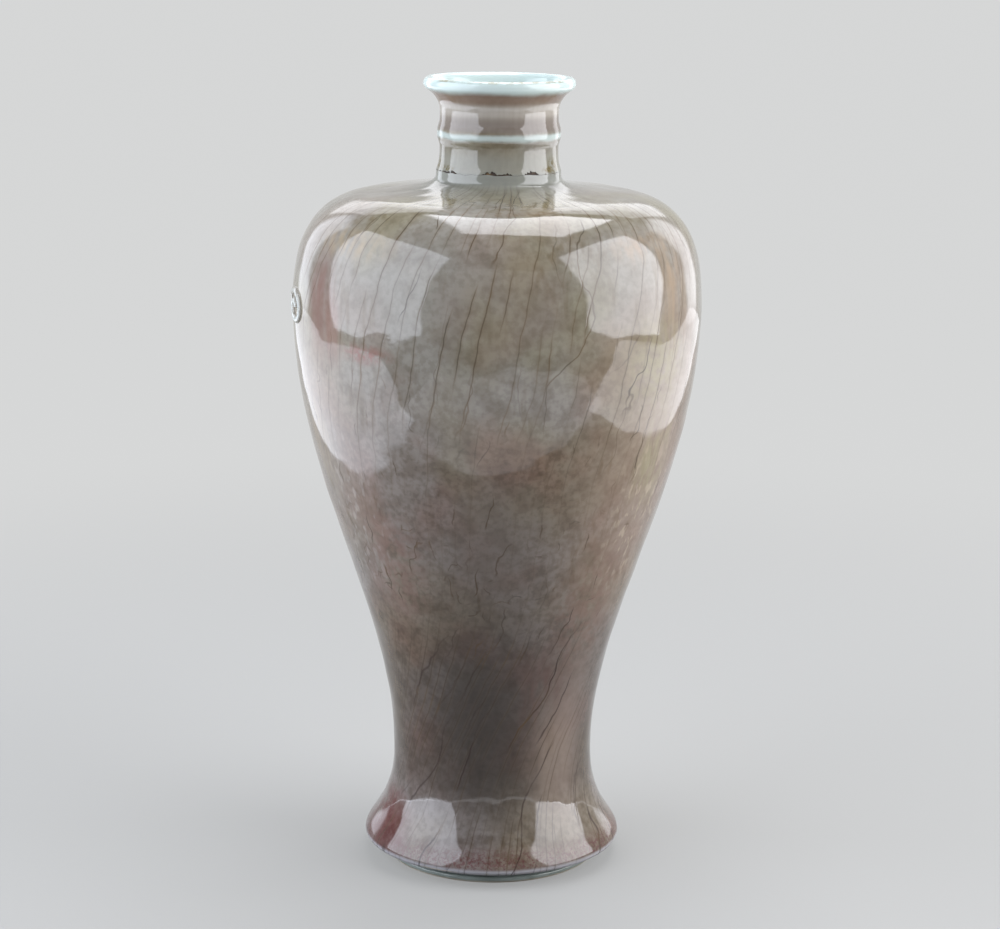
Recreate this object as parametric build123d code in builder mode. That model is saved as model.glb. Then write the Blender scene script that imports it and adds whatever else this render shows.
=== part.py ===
"""Meiping vase: porcelain sections, thrown one by one and luted together with slip.

Millimetres. The axis of the vase is Z and the ground is z = 0.

A turned foot ring carries the base disc, which is let into a rebate under the flared foot. On the
foot stand the lower body, the upper body with its shoulder and collar, and the trumpet neck with a
string ring and a rolled lip. The rims are cut as cones, so that every section centres itself on the
one below, with a layer of slip between the two. A small scroll is luted onto the belly.

The profiles are drawn in the X-Z plane, as (radius, height), and turned about Z.
"""

import os
from math import cos, radians, sin, tan

from build123d import *

# Foot ring
foot_bead_height = 2.6  # the bead that stands on the ground
groove_height = 4.2  # the groove between the bead and the base
groove_depth = 2.5
foot_ring_width = 7.5  # from the ring's inside to its outside
foot_ring_setback = 2.0  # from the rebate in the foot to the ring's outside
ground_edge_round = 0.8  # where the edges on the ground were wiped
bead_round = 1.0  # upper edge of the bead

# Base disc, and the rebate under the foot that holds it
base_thickness = 6.2
rim_width = 6.8  # flat rim of the foot, from the rebate to the outer edge
ledge_width = 3.5  # how far the rebate's ledge reaches in over the base

# Flared foot
foot_height = 39.2  # rim of the foot to the waist
foot_spread = 12.45  # how far the foot's edge stands out from the waist
foot_edge_round = 1.2
foot_edge_pull = 0.17  # share of the foot's rise over which its curve is near upright, at the edge
foot_waist_pull = 0.70  # and at the waist

# Body
waist_radius = 41.85
belly_radius = 84.0
flank_height = 192.0  # waist to the widest point of the belly
waist_pull = 0.318  # shares of the flank's rise, as on the foot
belly_pull = 0.385
wall = 5.0
seam_share = 0.53  # where the seam of the two body sections lies along the flank

# Shoulder and collar
shoulder_height = 44.8  # widest point to the crown, where the shoulder flattens
crown_inset = 29.1  # how far the crown lies inside the widest point
crown_slope = 6.0  # degrees
shoulder_belly_pull = 0.335  # share of the shoulder's rise
shoulder_crown_pull = 0.93  # share of the shoulder's run
root_height = 7.7  # crown to the top of the curve that runs up into the collar
root_crown_pull = 0.94  # share of the root's run
root_collar_pull = 0.44  # share of the root's rise
collar_height = 2.0
collar_step = 0.4  # how far the collar stands out from the neck's foot

# Neck
neck_radius = 23.95
neck_wall = 4.45
neck_foot_flare = 1.0  # how much wider the neck is at its foot
neck_foot_height = 8.5
neck_foot_pull = 0.27  # share of the neck foot's rise
neck_below_ring = 0.9  # straight stretch under the string ring
neck_above_ring = 4.3  # straight stretch over the string ring
flare_height = 7.3
flare_spread = 3.25  # how far the lip's seat stands out from the neck
flare_pull = 0.57  # share of the flare's rise

# String ring
string_ring_height = 9.0
string_ring_proud = 1.05

# Lip
lip_seat_width = 3.2
lip_overhang = 3.65  # how far the lip's nose stands out from its seat
lip_nose_height = 3.7  # seat to the widest point
lip_crest_height = 2.5  # widest point to the highest
lip_crest_inset = 1.65  # how far the highest point lies inside the widest
lip_under_pull = 0.38  # how far the flare's line runs on under the lip, as a share of its last run
lip_inside_pull = 0.45  # and inside the lip
lip_nose_pull = 0.5  # share of the nose's rise
lip_crest_pull = 0.5  # share of the way from the crest in to the bore

# Joints
slip_thickness = 0.8
joint_slope = 0.5  # rise of the conical rims over their run
bead_radius = 2.0  # slip pressed out on the inside, where no finger reaches it

# Scroll on the belly
scroll_proud = 1.2
scroll_band_width = 3.0
scroll_eye_reach = 3.6  # from the scroll's middle to the band, along the vase's girth
scroll_growth = 3.0  # added to the reach at each half turn
scroll_half_turns = 3
scroll_flatness = 0.72  # height of each half turn over its reach
scroll_bearing = 193.5  # degrees about Z, from +X

# Radii that follow from the sizes above
foot_radius = waist_radius + foot_spread
rebate_radius = foot_radius - rim_width
ledge_radius = rebate_radius - ledge_width
base_radius = rebate_radius - slip_thickness
foot_ring_radius = rebate_radius - foot_ring_setback
foot_ring_bore = foot_ring_radius - foot_ring_width
groove_radius = foot_ring_radius - groove_depth
crown_radius = belly_radius - crown_inset
neck_bore = neck_radius - neck_wall
neck_foot_radius = neck_radius + neck_foot_flare
collar_radius = neck_foot_radius + collar_step
lip_seat_radius = neck_radius + flare_spread
lip_bore = lip_seat_radius - lip_seat_width
lip_radius = lip_seat_radius + lip_overhang
lip_crest_radius = lip_radius - lip_crest_inset


def joint_z(radius, seam_radius, seam_z):
    """Height of a seam's cone at a radius. The cone climbs towards the axis."""
    return seam_z + joint_slope * (seam_radius - radius)


# Heights stacked from the ground
rim_z = foot_bead_height + groove_height
base_top_z = rim_z + base_thickness
ledge_z = base_top_z + slip_thickness
waist_z = rim_z + foot_height
belly_z = waist_z + flank_height
crown_z = belly_z + shoulder_height
root_z = crown_z + root_height
collar_z = root_z + collar_height
neck_foot_z = joint_z(neck_foot_radius, collar_radius, collar_z + slip_thickness)
neck_bore_z = joint_z(neck_bore, collar_radius, collar_z + slip_thickness)
neck_straight_z = neck_foot_z + neck_foot_height
string_ring_z = neck_straight_z + neck_below_ring
flare_z = string_ring_z + string_ring_height + neck_above_ring
lip_seat_z = flare_z + flare_height
lip_nose_z = lip_seat_z + lip_nose_height
lip_z = lip_nose_z + lip_crest_height

# Past the outside of the vase, for the cuts that part the wall at its seams
cut_reach = belly_radius + foot_radius

os.makedirs("parts", exist_ok=True)


def upright_curve(low, low_pull, high, high_pull):
    """Curve from low to high that is upright at both ends. The pulls are shares of its rise."""
    rise = high[1] - low[1]
    low_handle = (low[0], low[1] + low_pull * rise)
    high_handle = (high[0], high[1] - high_pull * rise)
    return Bezier(low, low_handle, high_handle, high)


def flank_curve(inset):
    """Waist to belly, drawn the inset inside the outer surface, or outside it if negative."""
    waist = (waist_radius - inset, waist_z)
    belly = (belly_radius - inset, belly_z)
    return upright_curve(waist, waist_pull, belly, belly_pull)


def shoulder_curve(inset):
    """Belly to crown: upright at the belly, and at the crown's slope where it ends."""
    belly = (belly_radius - inset, belly_z)
    crown = (crown_radius, crown_z - inset)
    belly_handle = (belly[0], belly[1] + shoulder_belly_pull * (crown[1] - belly[1]))
    run = shoulder_crown_pull * (belly[0] - crown[0])
    crown_handle = (crown[0] + run, crown[1] - run * tan(radians(crown_slope)))
    return Bezier(belly, belly_handle, crown_handle, crown)


def root_curve(inset, collar):
    """Crown to collar: it leaves the crown at its slope and ends upright at the given radius."""
    crown = (crown_radius, crown_z - inset)
    top = (collar, root_z - inset)
    run = root_crown_pull * (crown[0] - collar)
    crown_handle = (crown[0] - run, crown[1] + run * tan(radians(crown_slope)))
    top_handle = (collar, top[1] - root_collar_pull * root_height)
    return Bezier(crown, crown_handle, top_handle, top)


def vase_wall():
    """Section of the whole wall, from the rim of the foot to the top of the collar."""
    edge_centre = (foot_radius - foot_edge_round, rim_z + foot_edge_round)
    edge = (foot_radius, rim_z + foot_edge_round)
    waist_out = (waist_radius, waist_z)
    waist_in = (waist_radius - wall, waist_z)
    ledge = (ledge_radius, ledge_z)
    with BuildLine() as outline:
        CenterArc(edge_centre, foot_edge_round, 270, 90)
        upright_curve(edge, foot_edge_pull, waist_out, foot_waist_pull)
        flank_curve(0)
        shoulder_curve(0)
        root_curve(0, collar_radius)
        Polyline(
            (collar_radius, root_z),
            (collar_radius, collar_z),
            (neck_bore, joint_z(neck_bore, collar_radius, collar_z)),
            (neck_bore, root_z - wall),
        )
        root_curve(wall, neck_bore)
        shoulder_curve(wall)
        flank_curve(wall)
        upright_curve(ledge, foot_edge_pull, waist_in, foot_waist_pull)
        Polyline(ledge, (rebate_radius, ledge_z), (rebate_radius, rim_z), (edge_centre[0], rim_z))
    make_face(outline.edges())


def below_seam(seam, lift, mode):
    """Everything under a seam's cone, lifted by the slip where the section above it starts."""
    with BuildLine() as outline:
        Polyline(
            (0, joint_z(0, seam[0], seam[1] + lift)),
            (cut_reach, joint_z(cut_reach, seam[0], seam[1] + lift)),
            (cut_reach, -cut_reach),
            (0, -cut_reach),
            close=True,
        )
    make_face(outline.edges(), mode=mode)


def seam_slip(seam):
    """Slip across the wall at a seam, with the bead that it leaves on the inside."""
    bead_at = seam[0] - wall
    with Locations((bead_at, joint_z(bead_at, seam[0], seam[1] + slip_thickness / 2))):
        Circle(bead_radius)
    with BuildSketch(mode=Mode.PRIVATE) as whole_wall:
        vase_wall()
    add(whole_wall.sketch, mode=Mode.SUBTRACT)
    with BuildSketch(mode=Mode.PRIVATE) as layer:
        vase_wall()
        below_seam(seam, slip_thickness, Mode.INTERSECT)
        below_seam(seam, 0, Mode.SUBTRACT)
    add(layer.sketch)


# Seams of the body, each named by its point on the outside
waist_seam = (waist_radius, waist_z)
with BuildLine() as flank:
    flank_curve(0)
seam_point = flank.line @ seam_share
body_seam = (seam_point.X, seam_point.Y)

# Foot ring: a bead on the ground, and a groove between it and the base
with BuildPart() as foot_ring:
    with BuildSketch(Plane.XZ):
        with BuildLine():
            Polyline(
                (foot_ring_bore, 0),
                (foot_ring_radius, 0),
                (foot_ring_radius, foot_bead_height),
                (groove_radius, foot_bead_height),
                (groove_radius, rim_z),
                (foot_ring_bore, rim_z),
                close=True,
            )
        make_face()
    revolve(axis=Axis.Z)
    ground_edges = foot_ring.edges().group_by(Axis.Z)[0]
    fillet(ground_edges, ground_edge_round)
    bead_edges = foot_ring.edges().filter_by_position(Axis.Z, foot_bead_height, foot_bead_height)
    fillet(bead_edges.sort_by(SortBy.RADIUS)[-1], bead_round)
foot_ring.part.label = "foot_ring"
export_step(foot_ring.part, "parts/foot_ring.step")

# Base disc: the floor of the vase
with BuildPart() as base_disc:
    with BuildSketch(Plane.XY.offset(rim_z)):
        Circle(base_radius)
    extrude(amount=base_thickness)
base_disc.part.label = "base_disc"
export_step(base_disc.part, "parts/base_disc.step")

# Slip round the base disc and over its edge
with BuildPart() as base_slip:
    with BuildSketch(Plane.XZ):
        with BuildLine():
            Polyline(
                (base_radius, rim_z),
                (rebate_radius, rim_z),
                (rebate_radius, ledge_z),
                (ledge_radius, ledge_z),
                (ledge_radius, base_top_z),
                (base_radius, base_top_z),
                close=True,
            )
        make_face()
    revolve(axis=Axis.Z)
base_slip.part.label = "base_slip"
export_step(base_slip.part, "parts/base_slip.step")

# Flared foot, up to the waist
with BuildPart() as flared_foot:
    with BuildSketch(Plane.XZ):
        vase_wall()
        below_seam(waist_seam, 0, Mode.INTERSECT)
    revolve(axis=Axis.Z)
flared_foot.part.label = "flared_foot"
export_step(flared_foot.part, "parts/flared_foot.step")

# Slip at the waist
with BuildPart() as waist_slip:
    with BuildSketch(Plane.XZ):
        seam_slip(waist_seam)
    revolve(axis=Axis.Z)
waist_slip.part.label = "waist_slip"
export_step(waist_slip.part, "parts/waist_slip.step")

# Lower body, from the waist to the seam in the flank
with BuildPart() as lower_body:
    with BuildSketch(Plane.XZ):
        vase_wall()
        below_seam(body_seam, 0, Mode.INTERSECT)
        below_seam(waist_seam, slip_thickness, Mode.SUBTRACT)
    revolve(axis=Axis.Z)
lower_body.part.label = "lower_body"
export_step(lower_body.part, "parts/lower_body.step")

# Slip in the flank
with BuildPart() as body_slip:
    with BuildSketch(Plane.XZ):
        seam_slip(body_seam)
    revolve(axis=Axis.Z)
body_slip.part.label = "body_slip"
export_step(body_slip.part, "parts/body_slip.step")

# Upper body: belly, shoulder and collar
with BuildPart() as upper_body:
    with BuildSketch(Plane.XZ):
        vase_wall()
        below_seam(body_seam, slip_thickness, Mode.SUBTRACT)
    revolve(axis=Axis.Z)
upper_body.part.label = "upper_body"
export_step(upper_body.part, "parts/upper_body.step")

# Slip between the collar and the neck
with BuildPart() as neck_slip:
    with BuildSketch(Plane.XZ):
        with BuildLine():
            Polyline(
                (collar_radius, collar_z),
                (neck_foot_radius, neck_foot_z),
                (neck_bore, neck_bore_z),
                (neck_bore, neck_bore_z - slip_thickness),
                close=True,
            )
        make_face()
    revolve(axis=Axis.Z)
neck_slip.part.label = "neck_slip"
export_step(neck_slip.part, "parts/neck_slip.step")

# Neck: a foot that fits the collar's cone, a straight bore and a trumpet flare
neck_foot_out = (neck_foot_radius, neck_foot_z)
neck_foot_handle = (neck_radius, neck_foot_z + neck_foot_pull * neck_foot_height)
flare_handle_out = (neck_radius, flare_z + flare_pull * flare_height)
flare_handle_in = (neck_bore, flare_z + flare_pull * flare_height)
seat_out = (lip_seat_radius, lip_seat_z)
seat_in = (lip_bore, lip_seat_z)
with BuildPart() as neck:
    with BuildSketch(Plane.XZ):
        with BuildLine():
            Bezier(neck_foot_out, neck_foot_handle, (neck_radius, neck_straight_z))
            Line((neck_radius, neck_straight_z), (neck_radius, flare_z))
            Bezier((neck_radius, flare_z), flare_handle_out, seat_out)
            Line(seat_out, seat_in)
            Bezier(seat_in, flare_handle_in, (neck_bore, flare_z))
            Polyline((neck_bore, flare_z), (neck_bore, neck_bore_z), neck_foot_out)
        make_face()
    revolve(axis=Axis.Z)
neck.part.label = "neck"
export_step(neck.part, "parts/neck.step")

# String ring: a thin coil smoothed onto the neck
with BuildPart() as string_ring:
    with BuildSketch(Plane.XZ):
        with BuildLine():
            low_edge = (neck_radius, string_ring_z)
            crest = (neck_radius + string_ring_proud, string_ring_z + string_ring_height / 2)
            high_edge = (neck_radius, string_ring_z + string_ring_height)
            ThreePointArc(low_edge, crest, high_edge)
            Line(high_edge, low_edge)
        make_face()
    revolve(axis=Axis.Z)
string_ring.part.label = "string_ring"
export_step(string_ring.part, "parts/string_ring.step")

# Lip: a coil rolled over the end of the flare, whose lines run on into it
flare_run_out = Vector(seat_out) - Vector(flare_handle_out)
flare_run_in = Vector(seat_in) - Vector(flare_handle_in)
with BuildPart() as lip_roll:
    with BuildSketch(Plane.XZ):
        with BuildLine():
            nose = (lip_radius, lip_nose_z)
            under_handle = Vector(seat_out) + flare_run_out * lip_under_pull
            nose_handle = (lip_radius, lip_nose_z - lip_nose_pull * lip_nose_height)
            roll_centre = (lip_crest_radius, lip_nose_z)
            crest = (lip_crest_radius, lip_z)
            crest_handle = (lip_crest_radius - lip_crest_pull * (lip_crest_radius - lip_bore), lip_z)
            inside_handle = Vector(seat_in) + flare_run_in * lip_inside_pull
            Line(seat_in, seat_out)
            Bezier(seat_out, under_handle, nose_handle, nose)
            EllipticalCenterArc(roll_centre, lip_crest_inset, lip_crest_height, arc_size=90)
            Bezier(crest, crest_handle, inside_handle, seat_in)
        make_face()
    revolve(axis=Axis.Z)
lip_roll.part.label = "lip_roll"
export_step(lip_roll.part, "parts/lip_roll.step")

# Scroll: a band coiled in half turns on a plane that faces out, cut to a layer on the belly
scroll_out = Vector(cos(radians(scroll_bearing)), sin(radians(scroll_bearing)), 0)
scroll_plane = Plane(origin=(0, 0, belly_z), x_dir=Vector(0, 0, 1).cross(scroll_out), z_dir=scroll_out)
with BuildPart() as belly_scroll:
    with BuildSketch(scroll_plane):
        with BuildLine():
            centre = 0
            side = 1
            for half_turn in range(scroll_half_turns):
                reach = scroll_eye_reach + half_turn * scroll_growth
                start = 90 - 90 * side
                EllipticalCenterArc((centre, 0), reach, reach * scroll_flatness, start, arc_size=180)
                centre += side * scroll_growth
                side = -side
        trace(line_width=scroll_band_width)
    extrude(amount=cut_reach)
    with BuildSketch(Plane.XZ):
        with BuildLine():
            flank_curve(0)
            shoulder_curve(0)
            Line((crown_radius, crown_z), (crown_radius, crown_z + scroll_proud))
            shoulder_curve(-scroll_proud)
            flank_curve(-scroll_proud)
            Line((waist_radius + scroll_proud, waist_z), (waist_radius, waist_z))
        make_face()
    revolve(axis=Axis.Z, mode=Mode.INTERSECT)
belly_scroll.part.label = "belly_scroll"
export_step(belly_scroll.part, "parts/belly_scroll.step")
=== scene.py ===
# Looks of the meiping vase.
#
# The fired clay comes from the frame. Here it gets its glaze: thin closed skins that lie 0.3 mm proud of
# the clay, a rounded scroll on the belly, and the colours and crackle of the fired glaze.
#
# Shapes are worked out in millimetres, with the axis of the vase on Z and the ground at z = 0, and put
# into the meshes in metres. Bearings are degrees about Z from +X; 270 faces the camera.

from math import cos, pi, radians, sin, tan

import bpy
import numpy as np
from mathutils import Matrix, Vector


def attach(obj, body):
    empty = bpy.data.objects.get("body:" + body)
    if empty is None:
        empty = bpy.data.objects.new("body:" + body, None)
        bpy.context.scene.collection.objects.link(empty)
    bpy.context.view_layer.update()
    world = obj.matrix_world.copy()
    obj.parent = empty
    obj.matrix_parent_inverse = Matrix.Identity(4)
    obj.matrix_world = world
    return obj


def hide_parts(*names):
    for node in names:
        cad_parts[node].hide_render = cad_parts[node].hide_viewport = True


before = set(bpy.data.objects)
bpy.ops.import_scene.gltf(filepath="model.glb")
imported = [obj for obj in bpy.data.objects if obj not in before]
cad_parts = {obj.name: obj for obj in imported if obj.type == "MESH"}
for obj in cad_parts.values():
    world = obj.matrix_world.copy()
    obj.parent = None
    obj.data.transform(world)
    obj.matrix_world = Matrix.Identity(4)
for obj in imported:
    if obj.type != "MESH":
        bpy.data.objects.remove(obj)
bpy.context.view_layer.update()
MM = 0.001

# Outline of the clay, the same sizes as in the part. A pull is a curve's handle as a share of its run
rim_z, ledge_z, waist_z, belly_z, crown_z = 6.8, 13.8, 46.0, 238.0, 282.8
root_z, collar_z, neck_foot_z, neck_straight_z = 290.5, 292.5, 293.5, 302.0
ring_low_z, ring_high_z, flare_z, seat_z, nose_z, lip_z = 302.9, 311.9, 316.2, 323.5, 327.2, 329.7
rebate_radius, foot_radius, foot_round, waist_radius, belly_radius = 47.5, 54.3, 1.2, 41.85, 84.0
crown_radius, collar_radius, neck_foot_radius, neck_radius, neck_bore = 54.9, 25.35, 24.95, 23.95, 19.5
ring_proud, seat_radius, lip_bore, nose_radius, crest_radius = 1.05, 27.2, 24.0, 30.85, 29.2
base_top_z, ledge_radius, wall = 13.0, 44.0, 5.0
crown_slope = tan(radians(6))
foot_pulls, flank_pulls = (0.17, 0.70), (0.318, 0.385)
shoulder_pulls, root_pulls = (0.335, 0.93), (0.94, 0.44)
neck_foot_pull, flare_pull = 0.27, 0.57
under_lip_pull, nose_pull, crest_pull, mouth_pull = 0.38, 0.5, 0.5, 0.45
curve_points, arc_points = 160, 40

# Glaze
glaze_proud = 0.3  # how far the skin stands out from the clay
glaze_depth = 0.36  # thickness of the skin, so that it is let a little into the clay
pooling = 0.5  # reach over which the glaze rounds the clay's corners
fine = 0.1  # spacing of the outline's points
row_step = 1.5  # spacing of the skin's rows along the outline
calm_radius = 12.0  # inside this the ripple dies out towards the axis
calm_heights, calm_shares = (9, 18, 282, 291), (0.4, 1, 1, 0.4)  # weaker at the foot's edge and on the neck
# Waves of the ripple: height in mm, whole waves round the axis, radians for each mm of outline, phase
ripple_waves = (
    (0.030, 3, 0.045, 0.0), (0.022, 5, -0.071, 1.3), (0.036, 9, 0.16, 0.4), (0.025, 4, -0.23, 0.0),
    (0.030, 14, -0.29, 2.1), (0.022, 7, 0.37, 4.0), (0.008, 23, 0.41, 5.2), (0.006, 31, -0.55, 0.0),
    (0.006, 1, 2 * pi / 11.0, 0.0),
)


def linear(hex_colour):
    """An sRGB hex colour as linear red, green, blue and alpha."""
    value = np.array([int(hex_colour[i : i + 2], 16) for i in (1, 3, 5)]) / 255
    value = np.where(value <= 0.04045, value / 12.92, ((value + 0.055) / 1.055) ** 2.4)
    return (*value.tolist(), 1.0)


def add(tree, kind, inputs=None, **settings):
    """Adds a node with its settings. An input is a value, a socket that is linked to it, or a node whose
    first output is linked to it."""
    made = tree.nodes.new("ShaderNode" + kind)
    for name, value in settings.items():
        setattr(made, name, value)
    for key, value in (inputs or {}).items():
        if isinstance(value, bpy.types.Node):
            value = value.outputs[0]
        if isinstance(value, bpy.types.NodeSocket):
            tree.links.new(value, made.inputs[key])
        else:
            made.inputs[key].default_value = value
    return made


# Shapes


def bezier(*points):
    """Points on a Bezier curve: the weights are the Bernstein polynomials of its 3 or 4 points."""
    share = np.linspace(0, 1, curve_points)[:, None]
    rest = 1 - share
    points = np.array(points, float)
    if len(points) == 3:
        return rest**2 * points[0] + 2 * rest * share * points[1] + share**2 * points[2]
    ends = rest**3 * points[0] + share**3 * points[3]
    return ends + 3 * rest**2 * share * points[1] + 3 * rest * share**2 * points[2]


def upright(low, high, pulls):
    """Bezier curve that is upright at both ends, with handles that are shares of its rise."""
    rise = high[1] - low[1]
    return bezier(low, (low[0], low[1] + pulls[0] * rise), (high[0], high[1] - pulls[1] * rise), high)


def arc(centre, reach, start, end):
    """Points on an ellipse's arc: the centre plus the reach times cosine and sine."""
    angle = np.radians(np.linspace(start, end, arc_points))
    return np.array(centre) + np.stack([reach[0] * np.cos(angle), reach[1] * np.sin(angle)], 1)


def flank(inset):
    """Waist to belly, the inset inside the outer surface: upright at both ends."""
    return upright((waist_radius - inset, waist_z), (belly_radius - inset, belly_z), flank_pulls)


def shoulder(inset):
    """Belly to crown, the inset inside the outer surface: upright below, at the crown's slope above."""
    belly, crown = np.array([belly_radius - inset, belly_z]), np.array([crown_radius, crown_z - inset])
    run = shoulder_pulls[1] * (belly[0] - crown[0])
    belly_handle = belly + [0, shoulder_pulls[0] * (crown[1] - belly[1])]
    return bezier(belly, belly_handle, crown + [run, -run * crown_slope], crown)


def root(inset, collar):
    """Crown to collar, the inset inside the outer surface: at the crown's slope below, upright above."""
    crown, top = np.array([crown_radius, crown_z - inset]), np.array([collar, root_z - inset])
    run = root_pulls[0] * (crown[0] - collar)
    top_handle = top - [0, root_pulls[1] * (root_z - crown_z)]
    return bezier(crown, crown + [-run, run * crown_slope], top_handle, top)


def clay_outline():
    """The clay's section from under the foot's rim, up the outside, over the lip and down to the floor:
    the curves above, straight bits between them, and arcs for the foot's edge, the ring and the lip."""
    edge = (foot_radius - foot_round, rim_z + foot_round)
    neck_handle = neck_foot_z + neck_foot_pull * (neck_straight_z - neck_foot_z)
    flare_handle = flare_z + flare_pull * (seat_z - flare_z)
    under_run = under_lip_pull * np.array([seat_radius - neck_radius, seat_z - flare_handle])
    inside_run = mouth_pull * np.array([lip_bore - neck_bore, seat_z - flare_handle])
    ring_half = (ring_high_z - ring_low_z) / 2
    ring_radius = (ring_half**2 + ring_proud**2) / (2 * ring_proud)
    ring_angle = np.degrees(np.arcsin(ring_half / ring_radius))
    ring_centre = (neck_radius + ring_proud - ring_radius, ring_low_z + ring_half)
    outside = [
        np.array([[rebate_radius, rim_z]]),
        arc(edge, (foot_round, foot_round), -90, 0),
        upright((foot_radius, rim_z + foot_round), (waist_radius, waist_z), foot_pulls),
        flank(0),
        shoulder(0),
        root(0, collar_radius),
        np.array([[collar_radius, collar_z]]),
        bezier((neck_foot_radius, neck_foot_z), (neck_radius, neck_handle), (neck_radius, neck_straight_z)),
        arc(ring_centre, (ring_radius, ring_radius), -ring_angle, ring_angle),
        bezier((neck_radius, flare_z), (neck_radius, flare_handle), (seat_radius, seat_z)),
        bezier(
            (seat_radius, seat_z),
            np.array([seat_radius, seat_z]) + under_run,
            (nose_radius, nose_z - nose_pull * (nose_z - seat_z)),
            (nose_radius, nose_z),
        ),
        arc((crest_radius, nose_z), (nose_radius - crest_radius, lip_z - nose_z), 0, 90),
    ]
    inside = [
        bezier(
            (crest_radius, lip_z),
            (crest_radius - crest_pull * (crest_radius - lip_bore), lip_z),
            np.array([lip_bore, seat_z]) + inside_run,
            (lip_bore, seat_z),
        ),
        bezier((lip_bore, seat_z), (neck_bore, flare_handle), (neck_bore, flare_z)),
        root(wall, neck_bore)[::-1],
        shoulder(wall)[::-1],
        flank(wall)[::-1],
        upright((ledge_radius, ledge_z), (waist_radius - wall, waist_z), foot_pulls)[::-1],
        np.array([[ledge_radius, base_top_z], [0, base_top_z]]),
    ]
    return np.concatenate(outside + inside)


def even(points, step):
    """The same line with points at an even step of its length."""
    length = np.concatenate([[0], np.cumsum(np.linalg.norm(np.diff(points, axis=0), axis=1))])
    length, first = np.unique(length, return_index=True)
    at = np.arange(0, length[-1], step)
    return np.stack([np.interp(at, length, points[first, i]) for i in (0, 1)], 1)


def pooled(points, step, reach):
    """The line as glaze lies on it: each point is a Gaussian mean of its neighbours out to 4 times the
    reach, so that glaze fills the hollows and thins over the edges. The ends are carried on straight."""
    count = int(4 * reach / step)
    before = points[0] + (points[0] - points[1]) * np.arange(count, 0, -1)[:, None]
    after = points[-1] + (points[-1] - points[-2]) * np.arange(1, count + 1)[:, None]
    carried = np.concatenate([before, points, after])
    weight = np.exp(-0.5 * (np.arange(-count, count + 1) * step / reach) ** 2)
    weight /= weight.sum()
    return np.stack([np.convolve(carried[:, i], weight, "valid") for i in (0, 1)], 1)


outline = pooled(even(clay_outline(), fine), fine, pooling)
along = np.gradient(outline, fine, axis=0)
outward = np.stack([along[:, 1], -along[:, 0]], 1)
outward /= np.linalg.norm(outward, axis=1, keepdims=True)
path = np.arange(len(outline)) * fine  # length along the outline
top_at = int(np.argmax(outline[:, 1]))  # the lip's crest


def path_at(height):
    """Length along the outside of the outline at a height."""
    return np.interp(height, outline[:top_at, 1], path[:top_at])


def ripple(theta, length):
    """How far the glaze rises and falls, in mm: a sum of waves round the vase and along it, from throwing
    and from the flow of the glaze. They are whole waves round the axis, so that the surface closes."""
    return sum(
        tall * np.cos(whole * theta + slant * length + phase) for tall, whole, slant, phase in ripple_waves
    )


def glaze_points(length, theta):
    """Points and normals of the glaze at a length along the outline and an angle round the axis.

    The point is the outline turned about Z, moved out by the glaze and its ripple. The normal is the
    outline's, tipped back by the slopes of the ripple along the outline and round the axis."""
    lines = (*outline.T, *outward.T)
    radius, height, out, up = [np.interp(length, path, line) for line in lines]
    turn_x, turn_y = np.cos(theta), np.sin(theta)
    calm = np.clip(radius / calm_radius, 0, 1) * np.interp(height, calm_heights, calm_shares)
    step = 0.01  # for the slopes, in mm and in radians
    rise = calm * (ripple(theta, length + step) - ripple(theta, length - step)) / (2 * step)
    swing = calm * (ripple(theta + step, length) - ripple(theta - step, length)) / (2 * step)
    swing = swing / np.maximum(radius, 1.0)  # for each mm round the axis
    proud = glaze_proud + calm * ripple(theta, length)
    out_now, up_now = out + rise * up, up - rise * out
    normal = np.stack([out_now * turn_x + swing * turn_y, out_now * turn_y - swing * turn_x, up_now], -1)
    normal /= np.linalg.norm(normal, axis=-1, keepdims=True)
    radius, height = radius + proud * out, height + proud * up
    return np.stack([radius * turn_x, radius * turn_y, height], -1), normal


def closed_mesh(name, rows, normals=None, poles=False):
    """A closed mesh from a grid of points that wraps in its second direction. The first direction wraps
    too, or it ends in a pole at each end. Points in mm; the faces are turned to point outwards."""
    count, around = rows.shape[:2]
    index = np.arange(count * around).reshape(count, around)
    after = np.roll(index, -1, 1)
    below = slice(None) if not poles else slice(0, count - 1)
    lower, upper = index[below], np.roll(index, -1, 0)[below]
    lower_after, upper_after = after[below], np.roll(after, -1, 0)[below]
    faces = np.stack([lower, lower_after, upper_after, upper], -1).reshape(-1, 4)
    points = rows.reshape(-1, 3)
    fans = np.zeros((0, 3), int)
    if poles:
        first, last = count * around, count * around + 1
        points = np.concatenate([points, [rows[0].mean(0), rows[-1].mean(0)]])
        start = np.stack([np.full(around, first), after[0], index[0]], 1)
        end = np.stack([np.full(around, last), index[-1], after[-1]], 1)
        fans = np.concatenate([start, end])
    triangles = np.concatenate([faces[:, :3], faces[:, [0, 2, 3]], fans])
    corners = points[triangles]
    volume = np.einsum("ij,ij->i", corners[:, 0], np.cross(corners[:, 1], corners[:, 2])).sum()
    if volume < 0:
        faces, fans = faces[:, ::-1], fans[:, ::-1]
    mesh = bpy.data.meshes.new(name)
    mesh.from_pydata((points * MM).tolist(), [], faces.tolist() + fans.tolist())
    mesh.update()
    mesh.shade_smooth()
    if normals is not None:
        normals = normals.reshape(-1, 3)
        if poles:
            normals = np.concatenate([normals, [[0, 0, 1], [0, 0, -1]]])
        mesh.normals_split_custom_set_from_vertices(normals.tolist())
    piece = bpy.data.objects.new(name, mesh)
    bpy.context.scene.collection.objects.link(piece)
    return piece


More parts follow.
